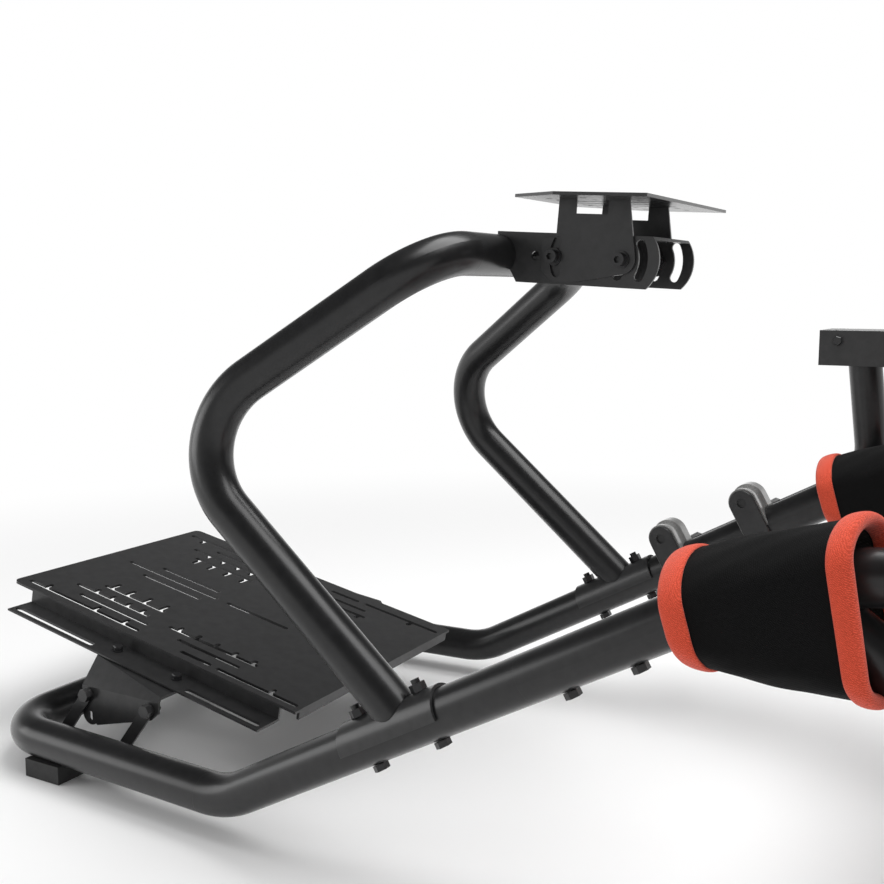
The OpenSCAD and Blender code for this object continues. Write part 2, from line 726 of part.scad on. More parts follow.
module seat_sling() {
    color(cloth) cockpit() difference() {
        translate([sling_front, 0, 0]) rotate([90, 0, 90]) linear_extrude(sling_rear - sling_front)
            polygon(concat([for (y = sling_steps) [y, sling_z(y) + fabric_t]],
                [for (i = [16:-1:0]) [sling_steps[i], sling_z(sling_steps[i])]]));
        for (side = [-1, 1]) translate([sling_front - 1, side * (rail_y + 12) - 50, seat_z])
            cube([sleeve_rear + 16 - sling_front, 100, 60]);
    }
}
back_axis = unit(back_top(1) + back_top(-1) - back_foot(1) - back_foot(-1));
back_low = 80;
back_high = 540;
back_length = norm(back_top(1) + back_top(-1) - back_foot(1) - back_foot(-1)) / 2;
function post_y(h) = rail_y + (back_spacing / 2 - rail_y) * h / back_length;
module back_sling() {
    off = [-back_axis[2], 0, back_axis[0]];
    color(cloth) cockpit() placed([back_x, 0, seat_z] + off * (tube_r + play), [0, -1, 0], off)
        linear_extrude(fabric_t)
            polygon([[-post_y(back_low), back_low], [post_y(back_low), back_low],
                [post_y(back_high), back_high], [-post_y(back_high), back_high]]);
}

front_bow();
rail(-1);  // rail_left
rail(1);  // rail_right
front_foot(-1);  // front_foot_left
front_foot(1);  // front_foot_right
saddle(-1);  // saddle_left
saddle(1);  // saddle_right
rail_bolts(-1);  // rail_bolts_left
rail_bolts(1);  // rail_bolts_right
upright(-1);  // upright_left
upright(1);  // upright_right
wheel_cross_tube();
wheel_channel();
channel_bolts();
wheel_bracket();
bracket_bolts();
wheel_plate();
pedal_plate();
pedal_strip(-1);  // pedal_strip_left
pedal_strip(1);  // pedal_strip_right
pedal_bracket(-1);  // pedal_bracket_left
pedal_bracket(1);  // pedal_bracket_right
pedal_struts(-1);  // pedal_struts_left
pedal_struts(1);  // pedal_struts_right
rail_clamp(clamp_runs[0]);  // rail_clamp_front
rail_clamp(clamp_runs[1]);  // rail_clamp_rear
shifter_arm();
shifter_bracket();
seat_rail(-1);  // seat_rail_left
seat_rail(1);  // seat_rail_right
back_post(-1);  // back_post_left
back_post(1);  // back_post_right
back_top_tube();
stand_leg(-1);  // stand_leg_left
stand_leg(1);  // stand_leg_right
stand_floor_tube();
stand_feet();
seat_sling();
back_sling();
sleeve(-1);  // sleeve_left
sleeve(1);  // sleeve_right
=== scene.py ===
import json
import math

import bmesh
import bpy
from mathutils import Matrix, Vector


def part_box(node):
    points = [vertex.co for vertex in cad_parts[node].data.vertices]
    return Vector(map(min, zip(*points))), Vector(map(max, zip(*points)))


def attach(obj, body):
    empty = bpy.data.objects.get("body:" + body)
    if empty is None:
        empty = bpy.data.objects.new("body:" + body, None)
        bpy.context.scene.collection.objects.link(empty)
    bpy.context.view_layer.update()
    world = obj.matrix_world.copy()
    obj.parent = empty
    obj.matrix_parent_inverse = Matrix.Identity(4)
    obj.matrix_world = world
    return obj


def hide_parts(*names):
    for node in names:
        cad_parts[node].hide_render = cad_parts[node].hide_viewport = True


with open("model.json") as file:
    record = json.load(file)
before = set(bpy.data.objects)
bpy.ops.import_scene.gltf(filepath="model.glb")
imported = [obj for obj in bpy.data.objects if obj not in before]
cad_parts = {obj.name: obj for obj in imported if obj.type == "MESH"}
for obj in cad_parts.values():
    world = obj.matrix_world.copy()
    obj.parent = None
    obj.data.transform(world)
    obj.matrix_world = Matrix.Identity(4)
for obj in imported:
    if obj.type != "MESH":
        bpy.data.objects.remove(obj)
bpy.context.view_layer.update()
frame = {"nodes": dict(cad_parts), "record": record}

nodes = frame["nodes"]
ROOT = "frame"

# ---- the construction's values, in millimetres ----
RISE = math.radians(29)
BOW_Z = 38.0
RAIL_Y = 270.0
RAIL_RUN = 538
SEAT_Z = BOW_Z + RAIL_RUN * math.tan(RISE)
LEAN = math.radians(18)
BACK_X = 800.0
BACK_TOP_Y = 200
BACK_TOP_Z = 950
BACK_TOP_X = BACK_X + (BACK_TOP_Z - SEAT_Z) * math.tan(LEAN)
TUBE_R = 21.0
ARM_R = 19.0
ARM_ACROSS = 66

# How far the part reaches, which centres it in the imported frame
FRONT_REACH, LEFT_REACH, RIGHT_REACH = 423.2, 315, 372
SX = (FRONT_REACH - BACK_TOP_X - TUBE_R) / 2
SY = (LEFT_REACH - RIGHT_REACH) / 2

# ---- light levels ----
WORLD_LEVEL = 0.62
CEILING = 0.10
FLOOR_TONE = 0.88
OVERHEAD_WATTS = 48
LEFT_WALL_WATTS = 16


def P(x, y, z):
    """A point of the construction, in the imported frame's metres."""
    return Vector(((x + SX) / 1000, (y + SY) / 1000, z / 1000))


# ---- camera ----
PICTURE_PX = 884
FOCAL_PX = 1119.64
SENSOR_MM = 36
EYE = P(695.48, -1066.67, 529.8)
forward = Vector((-0.490695, 0.860874, -0.134592)).normalized()
right = forward.cross(Vector((0, 0, 1))).normalized()
up = right.cross(forward)

cam_data = bpy.data.cameras.new("camera")
cam = bpy.data.objects.new("camera", cam_data)
bpy.context.scene.collection.objects.link(cam)
cam.matrix_world = Matrix((
    (right.x, up.x, -forward.x, EYE.x),
    (right.y, up.y, -forward.y, EYE.y),
    (right.z, up.z, -forward.z, EYE.z),
    (0, 0, 0, 1)))
cam_data.sensor_width = SENSOR_MM
cam_data.sensor_fit = "HORIZONTAL"
cam_data.lens = FOCAL_PX * SENSOR_MM / PICTURE_PX
cam_data.clip_end = 60
bpy.context.scene.camera = cam
bpy.context.scene.view_settings.view_transform = "Standard"


# ---- materials ----
class Shader:
    """A small helper round one material's node tree."""

    def __init__(self, name):
        self.mat = bpy.data.materials.new(name)
        self.mat.use_nodes = True
        self.tree = self.mat.node_tree
        self.bsdf = self.tree.nodes["Principled BSDF"]
        self.coord = self.tree.nodes.new("ShaderNodeTexCoord")
        self.last_normal = None

    def node(self, kind):
        return self.tree.nodes.new(kind)

    def link(self, a, b):
        self.tree.links.new(a, b)

    def noise(self, scale, detail):
        n = self.node("ShaderNodeTexNoise")
        n.inputs["Scale"].default_value = scale
        n.inputs["Detail"].default_value = detail
        n.inputs["Roughness"].default_value = 0.55
        self.link(self.coord.outputs["Object"], n.inputs["Vector"])
        return n.outputs["Fac"]

    def wave(self, scale, direction, rotate, distortion):
        m = self.node("ShaderNodeMapping")
        m.inputs["Rotation"].default_value = rotate
        w = self.node("ShaderNodeTexWave")
        w.bands_direction = direction
        w.inputs["Scale"].default_value = scale
        w.inputs["Distortion"].default_value = distortion
        w.inputs["Detail Scale"].default_value = 1.6
        self.link(self.coord.outputs["Object"], m.inputs["Vector"])
        self.link(m.outputs["Vector"], w.inputs["Vector"])
        return w.outputs["Fac"]

    def math(self, op, a, b):
        m = self.node("ShaderNodeMath")
        m.operation = op
        for i, v in enumerate((a, b)):
            if isinstance(v, (int, float)):
                m.inputs[i].default_value = v
            else:
                self.link(v, m.inputs[i])
        return m.outputs[0]

    def ramp(self, fac, low, high, start=0.3, end=0.7):
        r = self.node("ShaderNodeValToRGB")
        e = r.color_ramp.elements
        e[0].position, e[1].position = start, end
        e[0].color, e[1].color = (*low, 1), (*high, 1)
        self.link(fac, r.inputs["Fac"])
        return r.outputs["Color"]

    def spread(self, fac, low, high):
        r = self.node("ShaderNodeMapRange")
        r.inputs["To Min"].default_value = low
        r.inputs["To Max"].default_value = high
        self.link(fac, r.inputs["Value"])
        return r.outputs["Result"]

    def bump(self, height, strength, distance):
        b = self.node("ShaderNodeBump")
        b.inputs["Strength"].default_value = strength
        b.inputs["Distance"].default_value = distance
        self.link(height, b.inputs["Height"])
        if self.last_normal:
            self.link(self.last_normal, b.inputs["Normal"])
        self.use_normal(b.outputs["Normal"])

    def bevel(self, radius):
        b = self.node("ShaderNodeBevel")
        b.samples = 4
        b.inputs["Radius"].default_value = radius
        self.use_normal(b.outputs["Normal"])

    def use_normal(self, normal):
        self.last_normal = normal
        self.link(normal, self.bsdf.inputs["Normal"])

    def colour(self, value):
        self.link(value, self.bsdf.inputs["Base Color"])

    def roughness(self, value):
        self.link(value, self.bsdf.inputs["Roughness"])

    def set(self, **values):
        for k, v in values.items():
            self.bsdf.inputs[k.replace("_", " ")].default_value = v


def powder(name, low, high, rough, edge, coat, peel=0.2):
    """Black powder coat: a dull base under a smoother skin with a faint orange peel."""
    s = Shader(name)
    s.bevel(edge)
    s.bump(s.noise(300, 1.0), peel, 0.00006)
    s.bump(s.noise(60, 1.0), 0.08, 0.0003)
    s.colour(s.ramp(s.noise(90, 4.0), low, high))
    s.roughness(s.spread(s.noise(30, 3.0), rough - 0.04, rough + 0.05))
    s.set(Specular_IOR_Level=0.1, Coat_Weight=1.0, Coat_Roughness=coat, Coat_IOR=1.38)
    return s.mat


def moulded(name, low, high, rough):
    """Rubber with a fine moulded grain."""
    s = Shader(name)
    s.bevel(0.0012)
    s.bump(s.noise(700, 5.0), 0.5, 0.0005)
    s.colour(s.ramp(s.noise(60, 4.0), low, high))
    s.roughness(s.spread(s.noise(200, 3.0), rough - 0.06, rough + 0.06))
    return s.mat


def weave(name, low, high, pitch, depth, sheen, distort=0.6):
    """Two crossed sets of ribs, a fine diagonal cloth."""
    s = Shader(name)
    scale = 2 * math.pi / (20 * pitch)
    ribs = s.math("MULTIPLY", s.wave(scale, "X", (0.5, 0.6, 0.78), distort),
                  s.wave(scale, "Z", (0.3, 0.4, -0.6), distort))
    s.bump(ribs, 0.6, depth)
    s.bump(s.noise(45, 4.0), 0.25, 0.002)
    fuzz = s.math("MULTIPLY", s.noise(500, 2.0), 0.5)
    s.colour(s.ramp(s.math("ADD", ribs, fuzz), low, high, 0.2, 1.0))
    s.roughness(s.spread(s.noise(300, 2.0), 0.82, 0.95))
    s.set(Specular_IOR_Level=0.12, Sheen_Weight=sheen, Sheen_Roughness=0.45)
    return s.mat


STEEL = powder("powder_coat_tube", (0.0075, 0.0075, 0.008), (0.012, 0.012, 0.0125),
               0.42, 0.0006, 0.27)
SHEET = powder("powder_coat_sheet", (0.018, 0.018, 0.0185), (0.026, 0.026, 0.0265),
               0.42, 0.0007, 0.26)
CLAMP = powder("gloss_coat_clamp", (0.15, 0.15, 0.148), (0.21, 0.21, 0.205),
               0.3, 0.0012, 0.10, 0.08)
BOLT = powder("black_oxide", (0.010, 0.010, 0.011), (0.020, 0.020, 0.021),
              0.34, 0.0004, 0.25, 0.12)
FOOT = moulded("black_rubber", (0.012, 0.012, 0.012), (0.022, 0.022, 0.022), 0.68)
CLOTH = weave("black_cloth", (0.0025, 0.0025, 0.0025), (0.0075, 0.0075, 0.0078),
              0.0011, 0.0004, 0.02)
LINING = weave("grey_lining", (0.020, 0.020, 0.019), (0.040, 0.039, 0.037),
               0.0022, 0.0004, 0.05)
ORANGE = weave("orange_binding", (0.51, 0.058, 0.029), (0.86, 0.118, 0.061),
               0.0010, 0.0005, 0.2, 6.0)

BY_SLOT = {"tube": STEEL, "sheet": SHEET, "hardware": BOLT, "clamp": CLAMP, "foot": FOOT,
           "fabric": CLOTH}
slot_of = {p["node"]: p["material_slot"] for p in frame["record"]["subparts"]}
for name, obj in nodes.items():
    mat = SHEET if name.startswith("pedal_struts") else BY_SLOT[slot_of[name]]
    if not obj.material_slots:
        obj.data.materials.append(mat)
    for s in obj.material_slots:
        s.material = mat


# ---- mesh helpers ----
def make_mesh(name, verts, faces, mat, smooth=True):
    mesh = bpy.data.meshes.new(name)
    mesh.from_pydata([tuple(v) for v in verts], [], faces)
    mesh.validate()
    bm = bmesh.new()
    bm.from_mesh(mesh)
    bmesh.ops.recalc_face_normals(bm, faces=bm.faces)
    bm.to_mesh(mesh)
    bm.free()
    mesh.update()
    obj = bpy.data.objects.new(name, mesh)
    bpy.context.scene.collection.objects.link(obj)
    obj.data.materials.append(mat)
    for poly in mesh.polygons:
        poly.use_smooth = smooth
    return obj


def rings_mesh(name, rings, mat, close=False):
    """Quads between closed rings of equal length; close also joins the last to the first."""
    n = len(rings[0])
    verts = [v for ring in rings for v in ring]
    faces = []
    for i in range(len(rings) if close else len(rings) - 1):
        j = (i + 1) % len(rings)
        for k in range(n):
            m = (k + 1) % n
            faces.append((i * n + k, i * n + m, j * n + m, j * n + k))
    return make_mesh(name, verts, faces, mat)


def capped(name, rings, mat, smooth=True):
    """A solid lofted through rings, with its first and last ring filled."""
    n = len(rings[0])
    verts = [v for ring in rings for v in ring]
    faces = [(i * n + k, i * n + (k + 1) % n, (i + 1) * n + (k + 1) % n, (i + 1) * n + k)
             for i in range(len(rings) - 1) for k in range(n)]
    faces += [tuple(range(n)), tuple((len(rings) - 1) * n + k for k in range(n))]
    obj = make_mesh(name, verts, faces, mat, smooth)
    if smooth:
        edge = obj.modifiers.new("edges", "EDGE_SPLIT")
        edge.split_angle = math.radians(35)
    return obj


def piping(name, points, radius, mat):
    """A round cord of trim along a line of points."""
    curve = bpy.data.curves.new(name, "CURVE")
    curve.dimensions = "3D"
    curve.bevel_depth = radius
    curve.bevel_resolution = 4
    spline = curve.splines.new("POLY")
    spline.points.add(len(points) - 1)
    for p, q in zip(spline.points, points):
        p.co = (*q, 1)
    spline.use_smooth = True
    curve.use_fill_caps = True
    curve.materials.append(mat)
    obj = bpy.data.objects.new(name, curve)
    bpy.context.scene.collection.objects.link(obj)
    return obj


# ---- clamps on the right rail ----
CLAMP_RUNS = {"front": 317, "rear": 429}
CLAMP_BOLT_H = 37.5
CLAMP_CLEAR = 0.3
EAR_OUT, EAR_R, EAR_LOW = -25.3, 15, -12
EAR_HOLE_R, EAR_HOLE_DEPTH = 5.6, 3.0
# Each station of the ear after its hole, and of the band: its place across the rail, its radius
EAR_STATIONS = ((EAR_OUT, 14.4), (-24.7, EAR_R), (-21.9, EAR_R), (-21.3, 14.4))
BAND_STATIONS = ((-21.2, 16.4), (-20.6, 17), (2.2, 17), (2.8, 16.6), (3.4, 18.2), (4.2, 19),
                 (22, 19), (23, 18))
LINK_FROM, LINK_FALLS, LINK_TO, LINK_TOP = 23, 60, 74, 23.5


def rail_spot(run, along, across, out):
    """A point beside the right rail: along it, across it, and out from its centre line."""
    c, n = math.cos(RISE), math.sin(RISE)
    return P((run + along) * c - out * n, RAIL_Y + across, BOW_Z + (run + along) * n + out * c)


def arch(run, across, r, low):
    """A ring with a round top about the clamp's bolt, standing across the rail."""
    high = CLAMP_BOLT_H
    pts = [(-r, low + (high - low) * k / 5) for k in range(5)]
    pts += [(-r * math.cos(math.pi * k / 24), high + r * math.sin(math.pi * k / 24))
            for k in range(25)]
    pts += [(r, high - (high - low) * k / 5) for k in range(1, 6)]
    pts += [(r - 2 * r * k / 5, low) for k in range(1, 5)]
    return [rail_spot(run, a, across, b) for a, b in pts]


def over(across):
    """Lowest height that clears the rail and the arm beside it."""
    tubes = ((TUBE_R + CLAMP_CLEAR, 0), (ARM_R + CLAMP_CLEAR, ARM_ACROSS))
    gap = [math.sqrt(r * r - (across - c) ** 2) for r, c in tubes if abs(across - c) < r]
    return max(gap + [0.5])


def clamp(label, run):
    """One clamp: the ear with its bolt hole, the round band, and the link over to the arm."""
    middle = rail_spot(run, 0, EAR_OUT, CLAMP_BOLT_H)
    hole = [middle + (q - middle).normalized() * (EAR_HOLE_R / 1000)
            for q in arch(run, EAR_OUT, EAR_R, EAR_LOW)]
    sunk = [q + Vector((0, EAR_HOLE_DEPTH / 1000, 0)) for q in hole]
    stations = [arch(run, across, r, EAR_LOW) for across, r in EAR_STATIONS]
    ear = capped("clamp_ear_" + label, [sunk, hole] + stations, SHEET)
    band = capped("clamp_band_" + label,
                  [arch(run, across, r, over(across)) for across, r in BAND_STATIONS], CLAMP)
    links = []
    for k in range(21):
        across = LINK_FROM + (LINK_TO - LINK_FROM) * k / 20
        low, top = over(across), LINK_TOP
        if across >= LINK_FALLS:
            top -= (across - LINK_FALLS) ** 2 * 0.05
        links.append([rail_spot(run, a, across, b) for a, b in
                      ((-17, low), (-17, top - 2), (-15, top), (15, top), (17, top - 2),
                       (17, low))])
    link = capped("clamp_link_" + label, links, SHEET)
    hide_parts("rail_clamp_" + label)
    for piece in (ear, band, link):
        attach(piece, ROOT)


for label, run in CLAMP_RUNS.items():
    clamp(label, run)


# ---- small bolts ----
WASHER_T = 1.3
BOLT_FLATS, WASHER_R = 10, 6.5


def bolt_ring(at, axis, h, radius_at):
    """24 points round an axis at a height, with the radius given for each angle."""
    u = axis.orthogonal().normalized()
    v = axis.cross(u)
    return [at + axis * h / 1000 + (u * math.cos(a) + v * math.sin(a)) * radius_at(a) / 1000
            for a in [math.pi * k / 12 for k in range(24)]]


def hex_bolt(name, at, axis, high):
    """A hexagon head with a chamfered top, on a washer."""
    at, axis = Vector(at), Vector(axis).normalized()
    corner = BOLT_FLATS / math.sqrt(3)

    def hexagon(a):
        inside = (a % (math.pi / 3)) - math.pi / 6
        return corner * math.cos(math.pi / 6) / math.cos(inside)

    rings = [bolt_ring(at, axis, h, lambda a: WASHER_R) for h in (0, WASHER_T)]
    for h, grow in ((0, 1), (high - 1, 1), (high, 0.86)):
        rings.append(bolt_ring(at, axis, WASHER_T + h, lambda a: hexagon(a) * grow))
    obj = capped(name, rings, BOLT, False)
    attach(obj, ROOT)


# ---- the pedal deck's strips, and the bolts through them ----
PEDAL_TILT = math.radians(11.5)
PEDAL_X, PEDAL_Z = 4, 88
STRIP_ENDS = (22, 404)
STRIP_WEB_Y, STRIP_H, STRIP_T = 163, 18, 3
# The strip's outline across the deck: a short lip under the plate, the web, the lower flange
STRIP_OUTLINE = [(156, 0), (156, -STRIP_T), (160, -STRIP_T), (160, -STRIP_H), (197, -STRIP_H),
                 (198, 1 - STRIP_H), (198, STRIP_T - STRIP_H),
                 (STRIP_WEB_Y, STRIP_T - STRIP_H), (STRIP_WEB_Y, 0)]
STRIP_SLOTS = ((26, 131), (271, 400))
SLOT_Y, SLOT_HALF = 188, 4
FLANGE_BOLTS = (154, 244)
FLANGE_BOLT_Y = STRIP_WEB_Y + 14


def pedal_spot(u, y, w):
    """A point of the pedal plate: forward along it, across, and above its lower face."""
    c, n = math.cos(PEDAL_TILT), math.sin(PEDAL_TILT)
    return P(PEDAL_X - u * c + w * n, y, PEDAL_Z + u * n + w * c)


def strip(side, label):
    """The flanged strip under one edge of the pedal plate, with its two slots."""
    def loft(name, sections):
        rings = [[pedal_spot(u, side * y, w) for y, w in (line if side > 0 else line[::-1])]
                 for u, line in sections]
        return capped(name, rings, SHEET, False)

    start, end = STRIP_ENDS
    body = loft("strip_body_" + label,
                [(u, STRIP_OUTLINE) for u in (start, start + 2, end - 2, end)])
    turns = (0.15, 0.5, 1.0, math.pi / 2)
    cutters = []
    for k, (a, b) in enumerate(STRIP_SLOTS):
        ends = [(a + SLOT_HALF - SLOT_HALF * math.cos(t), SLOT_HALF * math.sin(t))
                for t in turns]
        ends += [(b - SLOT_HALF + SLOT_HALF * math.cos(t), SLOT_HALF * math.sin(t))
                 for t in reversed(turns)]
        cut = loft("cut_%s_%d" % (label, k),
                   [(u, [(SLOT_Y - half, -20), (SLOT_Y + half, -20), (SLOT_Y + half, -12),
                         (SLOT_Y - half, -12)]) for u, half in ends])
        cutters.append(cut)
        mod = body.modifiers.new("slot%d" % k, "BOOLEAN")
        mod.operation = "DIFFERENCE"
        mod.object = cut
    bpy.context.view_layer.update()
    graph = bpy.context.evaluated_depsgraph_get()
    mesh = bpy.data.meshes.new_from_object(body.evaluated_get(graph))
    body.modifiers.clear()
    body.data = mesh
    for cut in cutters:
        bpy.data.objects.remove(cut)
    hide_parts("pedal_strip_" + label)
    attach(body, ROOT)


SIDES = ((-1, "left"), (1, "right"))
for side, label in SIDES:
    strip(side, label)
up_deck = Vector((math.sin(PEDAL_TILT), 0, math.cos(PEDAL_TILT)))
for side, label in SIDES:
    for k, u in enumerate(FLANGE_BOLTS):
        hex_bolt("flange_bolt_%s_%d" % (label, k),
                 pedal_spot(u, side * FLANGE_BOLT_Y, STRIP_T - STRIP_H), up_deck, 4.5)
lo, hi = [Vector(corner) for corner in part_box("shifter_bracket")]
for k, x in enumerate((0.021, hi.x - lo.x - 0.021)):
    hex_bolt("tray_bolt_%d" % k, (lo.x + x, lo.y, lo.z + 0.029), (0, -1, 0), 4)


# ---- the padded sleeves on the rails ----
# Each end is a tall ring: x, height, half width, corner height, straight run, tilt and turn
SLEEVE_FRONT = (454.0, 296.0, 57.0, 33.0, 15.0, 17.0, 0.0)
SLEEVE_REAR = (586.5, 312.5, 47.0, 28.0, 75.0, 10.0, 9.0)
SLEEVE_L = SLEEVE_REAR[0] - SLEEVE_FRONT[0]
SLEEVE_ROWS = 34
BULGE = 2.2
PAD_T = 6.0
# The bindings' sections: along the sleeve from its end, and out from its surface
FRONT_BINDING = [(-1.0, -12), (-2.4, -7), (-2.6, -2), (-1.2, 1.2), (1.5, 2.6), (6, 3.1),
                 (11, 3.0), (15, 2.2), (17.2, 0.7), (17.6, -1.6), (8, -1.8), (1, -3),
                 (0.6, -12)]
REAR_BINDING = [(-14.6, -1.6), (-14.0, 0.8), (-12, 2.2), (-9, 2.9), (-5, 3.0), (-1.5, 2.6),
                (1.2, 0.9), (2.4, -2), (2.4, -5), (1.2, -7.4), (-2, -8.6), (-7, -8.6),
                (-10.5, -8), (-11, -6.4), (-2, -5.8), (-0.6, -3), (-3, -1.8)]


def sleeve_loop(side, run, grow, wrinkle=0.0):
    """Points round the sleeve at a run from its front end, grown outwards."""
    t = run / SLEEVE_L
    x, z, wide, high, drop, tilt, turn = [a + (b - a) * t
                                          for a, b in zip(SLEEVE_FRONT, SLEEVE_REAR)]
    tilt, turn = math.radians(tilt), math.radians(turn)
    swell = math.sin(math.pi * max(0.0, min(1.0, t)))
    grow += BULGE * swell
    out = []

    def add(across, rise):
        out.append(P(x + across * math.sin(turn) - rise * math.sin(tilt),
                     side * RAIL_Y + across * math.cos(turn), z + rise * math.cos(tilt)))

    for edge in (1, -1):
        for k in range(36):
            a = math.pi * (1 - edge) / 2 + math.pi * k / 36
            w = wrinkle * swell ** 0.5
            w *= (0.7 * math.sin(2 * a + 3 * t + side) + 0.5 * math.sin(5 * a - 9 * t + 2 * side)
                  + 0.35 * math.sin(11 * a + 14 * t))
            add((wide + grow + w) * math.cos(a), (high + grow + w) * math.sin(a) + drop / 2 * edge)
        for k in (1, 2, 3, 4, 5):
            add(-edge * (wide + grow + w), drop / 2 * edge * (1 - k / 3))
    return out


def sleeve(side, label):
    """A sleeve's padded tube with its grey inside, and the two bindings round its ends."""
    stations = [SLEEVE_L * k / SLEEVE_ROWS for k in range(SLEEVE_ROWS + 1)]
    outer = [sleeve_loop(side, run, -0.6, 0.9) for run in stations]
    inner = [sleeve_loop(side, run, -PAD_T - (1 - run / SLEEVE_L) ** 8 * PAD_T)
             for run in reversed(stations)]
    body = rings_mesh("sleeve_body_" + label, outer + inner, CLOTH, close=True)
    body.data.materials.append(LINING)
    for k, poly in enumerate(body.data.polygons):
        if k // len(outer[0]) >= len(outer):
            poly.material_index = 1
    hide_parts("sleeve_" + label)
    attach(body, ROOT)
    for where, run, section in (("front", 0, FRONT_BINDING), ("rear", SLEEVE_L, REAR_BINDING)):
        loops = [sleeve_loop(side, run + along, out) for along, out in section]
        band = rings_mesh("sleeve_binding_%s_%s" % (where, label), loops, ORANGE, close=True)
        sub = band.modifiers.new("soft", "SUBSURF")
        sub.levels = sub.render_levels = 1
        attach(band, ROOT)


for side, label in SIDES:
    sleeve(side, label)


# ---- the seat and back slings ----
SLING_T = 5.5
SLING_GRIP = 4.5
SLING_WRAP = 120
SEAT_X, SEAT_SAG, SEAT_ROWS = (606, 730), 36, 24
BACK_H, BACK_SAG, BACK_ROWS = (80, 540), 26, 48
PIPING_R = 0.0048


def sling_section(half, sag):
    """A line across a sling: over a tube at -half, down in the middle, over one at +half."""
    r = TUBE_R + 0.5 + SLING_GRIP / 2
    left = [(-half + r * math.cos(a), r * math.sin(a))
            for a in [math.radians(90 + SLING_WRAP * (1 - k / 10)) for k in range(11)]]
    mid = []
    for k in range(1, 40):
        y = -half + 2 * half * k / 40
        e = 1 - (y / half) ** 2
        mid.append((y, r - sag * min(1.0, e * 1.15) * e ** 0.15))
    return left + mid + [(-y, z) for y, z in reversed(left)]


def shell(name, sheet, mat):
    """A closed skin of even thickness round a sheet given by its rows of points."""
    rows, cols = len(sheet), len(sheet[0])
    rings = []
    for i in range(rows):
        top, low = [], []
        for j in range(cols):
            a = sheet[min(rows - 1, i + 1)][j] - sheet[max(0, i - 1)][j]
            b = sheet[i][min(cols - 1, j + 1)] - sheet[i][max(0, j - 1)]
            offset = a.cross(b).normalized() * (SLING_T / 2000)
            top.append(sheet[i][j] + offset)
            low.append(sheet[i][j] - offset)
        rings.append(top + low[::-1])
    n = 2 * cols
    faces = [[i * n + k, i * n + (k + 1) % n, (i + 1) * n + (k + 1) % n, (i + 1) * n + k]
             for i in range(rows - 1) for k in range(n)]
    faces += [[row * n + k, row * n + k + 1, row * n + n - 2 - k, row * n + n - 1 - k]
              for row in (0, rows - 1) for k in range(cols - 1)]
    return make_mesh(name, [v for ring in rings for v in ring], faces, mat)


def sling(name, rows, stands_for):
    cloth = shell(name, rows, CLOTH)
    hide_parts(stands_for)
    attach(cloth, ROOT)


seat_rows = []
for k in range(SEAT_ROWS + 1):
    t = k / SEAT_ROWS
    x = SEAT_X[0] + (SEAT_X[1] - SEAT_X[0]) * k / SEAT_ROWS
    puff = 1.2 * math.sin(t * math.pi * 5) ** 2
    seat_rows.append([P(x, y, SEAT_Z + z + (puff if abs(y) < 240 else 0))
                      for y, z in sling_section(RAIL_Y, SEAT_SAG)])
sling("seat_cloth", seat_rows, "seat_sling")

back_dir = Vector((BACK_TOP_X - BACK_X, 0, BACK_TOP_Z - SEAT_Z)).normalized()
back_len = math.hypot(BACK_TOP_X - BACK_X, BACK_TOP_Z - SEAT_Z)
back_out = Vector((-back_dir.z, 0, back_dir.x))
back_rows = []
for k in range(BACK_ROWS + 1):
    t = k / BACK_ROWS
    h = BACK_H[0] + (BACK_H[1] - BACK_H[0]) * k / BACK_ROWS
    half = RAIL_Y + (BACK_TOP_Y - RAIL_Y) * h / back_len
    channel = 1.6 * math.sin(t * math.pi * 8) ** 2
    row = []
    for y, z in sling_section(half, BACK_SAG):
        rise = z + (channel if abs(y) < half - 30 else 0)
        q = Vector((BACK_X, 0, SEAT_Z)) + back_dir * h + back_out * rise
        row.append(P(q.x, y, q.z))
    back_rows.append(row)
sling("back_cloth", back_rows, "back_sling")

for label, row in (("seat_rear", seat_rows[-1]), ("seat_front", seat_rows[0]),
                   ("back_low", back_rows[0]), ("back_high", back_rows[-1])):
    edge = piping("binding_" + label, row, PIPING_R, ORANGE)
    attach(edge, ROOT)


# ---- floor, backdrop and light ----
def seen_rays(tree):
    """One where a camera, glossy or transmission ray arrives, and the camera's own."""
    path = tree.nodes.new("ShaderNodeLightPath")
    seen = path.outputs["Is Camera Ray"]
    for ray in ("Is Glossy Ray", "Is Transmission Ray"):
        either = tree.nodes.new("ShaderNodeMath")
        either.operation = "MAXIMUM"
        tree.links.new(seen, either.inputs[0])
        tree.links.new(path.outputs[ray], either.inputs[1])
        seen = either.outputs[0]
    return seen, path.outputs["Is Camera Ray"]


def fade(tree, value, start, end, low, high):
    """A smooth step from low to high as the value goes from start to end."""
    r = tree.nodes.new("ShaderNodeMapRange")
    r.interpolation_type = "SMOOTHSTEP"
    for name, v in (("From Min", start), ("From Max", end), ("To Min", low), ("To Max", high)):
        r.inputs[name].default_value = v
    tree.links.new(value, r.inputs["Value"])
    return r.outputs["Result"]


def mix(tree, fac, a, b):
    m = tree.nodes.new("ShaderNodeMixShader")
    for value, socket in ((fac, m.inputs["Fac"]), (a, m.inputs[1]), (b, m.inputs[2])):
        tree.links.new(value, socket)
    return m.outputs[0]


def glow(tree, kind, strength):
    """A white emission or background of one strength."""
    n = tree.nodes.new(kind)
    n.inputs["Color"].default_value = (1, 1, 1, 1)
    n.inputs["Strength"].default_value = strength
    return n


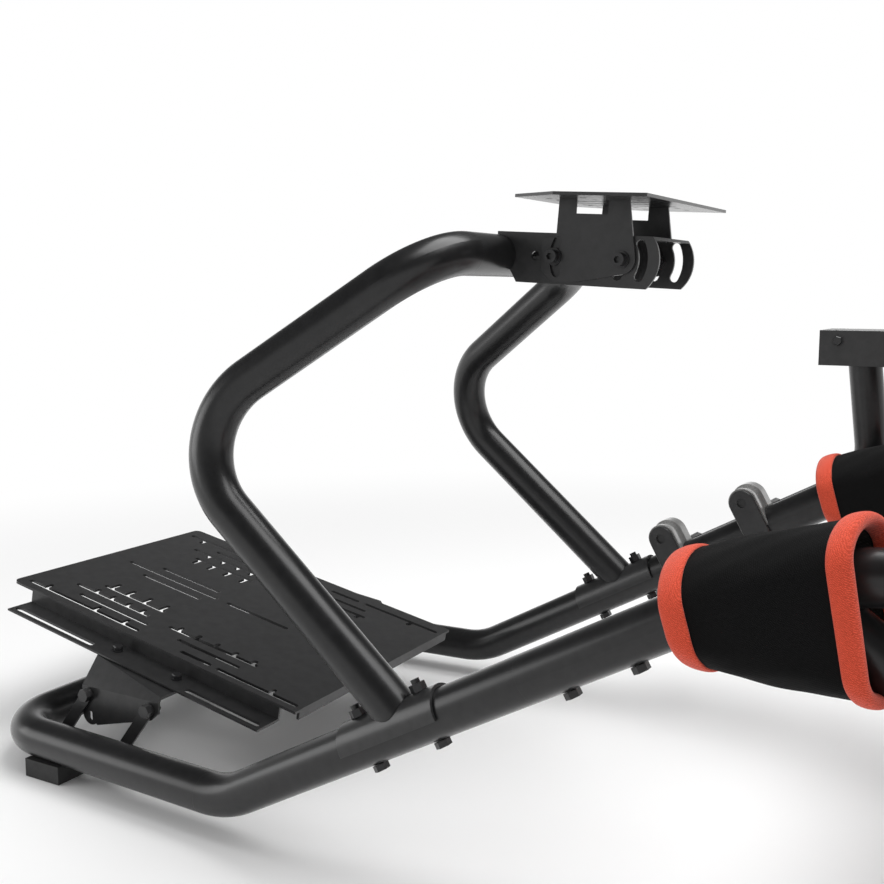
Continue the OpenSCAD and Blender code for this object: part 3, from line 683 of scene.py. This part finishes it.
FLOOR_HALF, FLOOR_Z = 30, -0.0005
floor = make_mesh("floor", [(x, y, FLOOR_Z) for x, y in
                            ((-FLOOR_HALF, -FLOOR_HALF), (FLOOR_HALF, -FLOOR_HALF),
                             (FLOOR_HALF, FLOOR_HALF), (-FLOOR_HALF, FLOOR_HALF))],
                  [(0, 1, 2, 3)], bpy.data.materials.new("floor"), False)
floor.data.materials[0].use_nodes = True
ft = floor.data.materials[0].node_tree
pale = ft.nodes["Principled BSDF"]
pale.inputs["Base Color"].default_value = (FLOOR_TONE, FLOOR_TONE, FLOOR_TONE, 1)
pale.inputs["Roughness"].default_value = 0.6
pale.inputs["Specular IOR Level"].default_value = 0.2
coord = ft.nodes.new("ShaderNodeTexCoord")
far = ft.nodes.new("ShaderNodeVectorMath")
far.operation = "LENGTH"
ft.links.new(coord.outputs["Object"], far.inputs[0])
seen, _ = seen_rays(ft)
# Far from the part the floor turns to the white backdrop, which lights it less than it shows
backdrop = mix(ft, seen, glow(ft, "ShaderNodeEmission", 0.5).outputs[0],
               glow(ft, "ShaderNodeEmission", 1.0).outputs[0])
whole = mix(ft, fade(ft, far.outputs["Value"], 0.85, 2.2, 0, 1), pale.outputs[0], backdrop)
ft.links.new(whole, ft.nodes["Material Output"].inputs["Surface"])

world = bpy.data.worlds.new("studio")
bpy.context.scene.world = world
world.use_nodes = True
wt = world.node_tree
wt.nodes.clear()
sky = wt.nodes.new("ShaderNodeTexCoord")
split = wt.nodes.new("ShaderNodeSeparateXYZ")
wt.links.new(sky.outputs["Generated"], split.inputs[0])
seen, camera_ray = seen_rays(wt)
lit, mirrored, shown = [glow(wt, "ShaderNodeBackground", level)
                        for level in (WORLD_LEVEL, 1.0, 1.0)]
# Gloss shows a white horizon under a darker ceiling
wt.links.new(fade(wt, split.outputs["Z"], 0.08, 0.42, 1.0, CEILING), mirrored.inputs["Strength"])
room = mix(wt, seen, lit.outputs[0], mirrored.outputs[0])
out = wt.nodes.new("ShaderNodeOutputWorld")
wt.links.new(mix(wt, camera_ray, room, shown.outputs[0]), out.inputs["Surface"])


def softbox(name, at, to, size_x, size_y, power):
    data = bpy.data.lights.new(name, "AREA")
    data.shape = "RECTANGLE"
    data.size, data.size_y = size_x, size_y
    data.energy = power
    obj = bpy.data.objects.new(name, data)
    obj.location = at
    obj.rotation_euler = (Vector(to) - Vector(at)).to_track_quat("-Z", "Y").to_euler()
    bpy.context.scene.collection.objects.link(obj)


softbox("overhead", (0.55, 0.25, 2.3), (0, 0, 0), 1.9, 1.5, OVERHEAD_WATTS)
softbox("left_wall", (-2.4, -1.5, 0.9), (0, 0, 0.3), 1.6, 1.0, LEFT_WALL_WATTS)
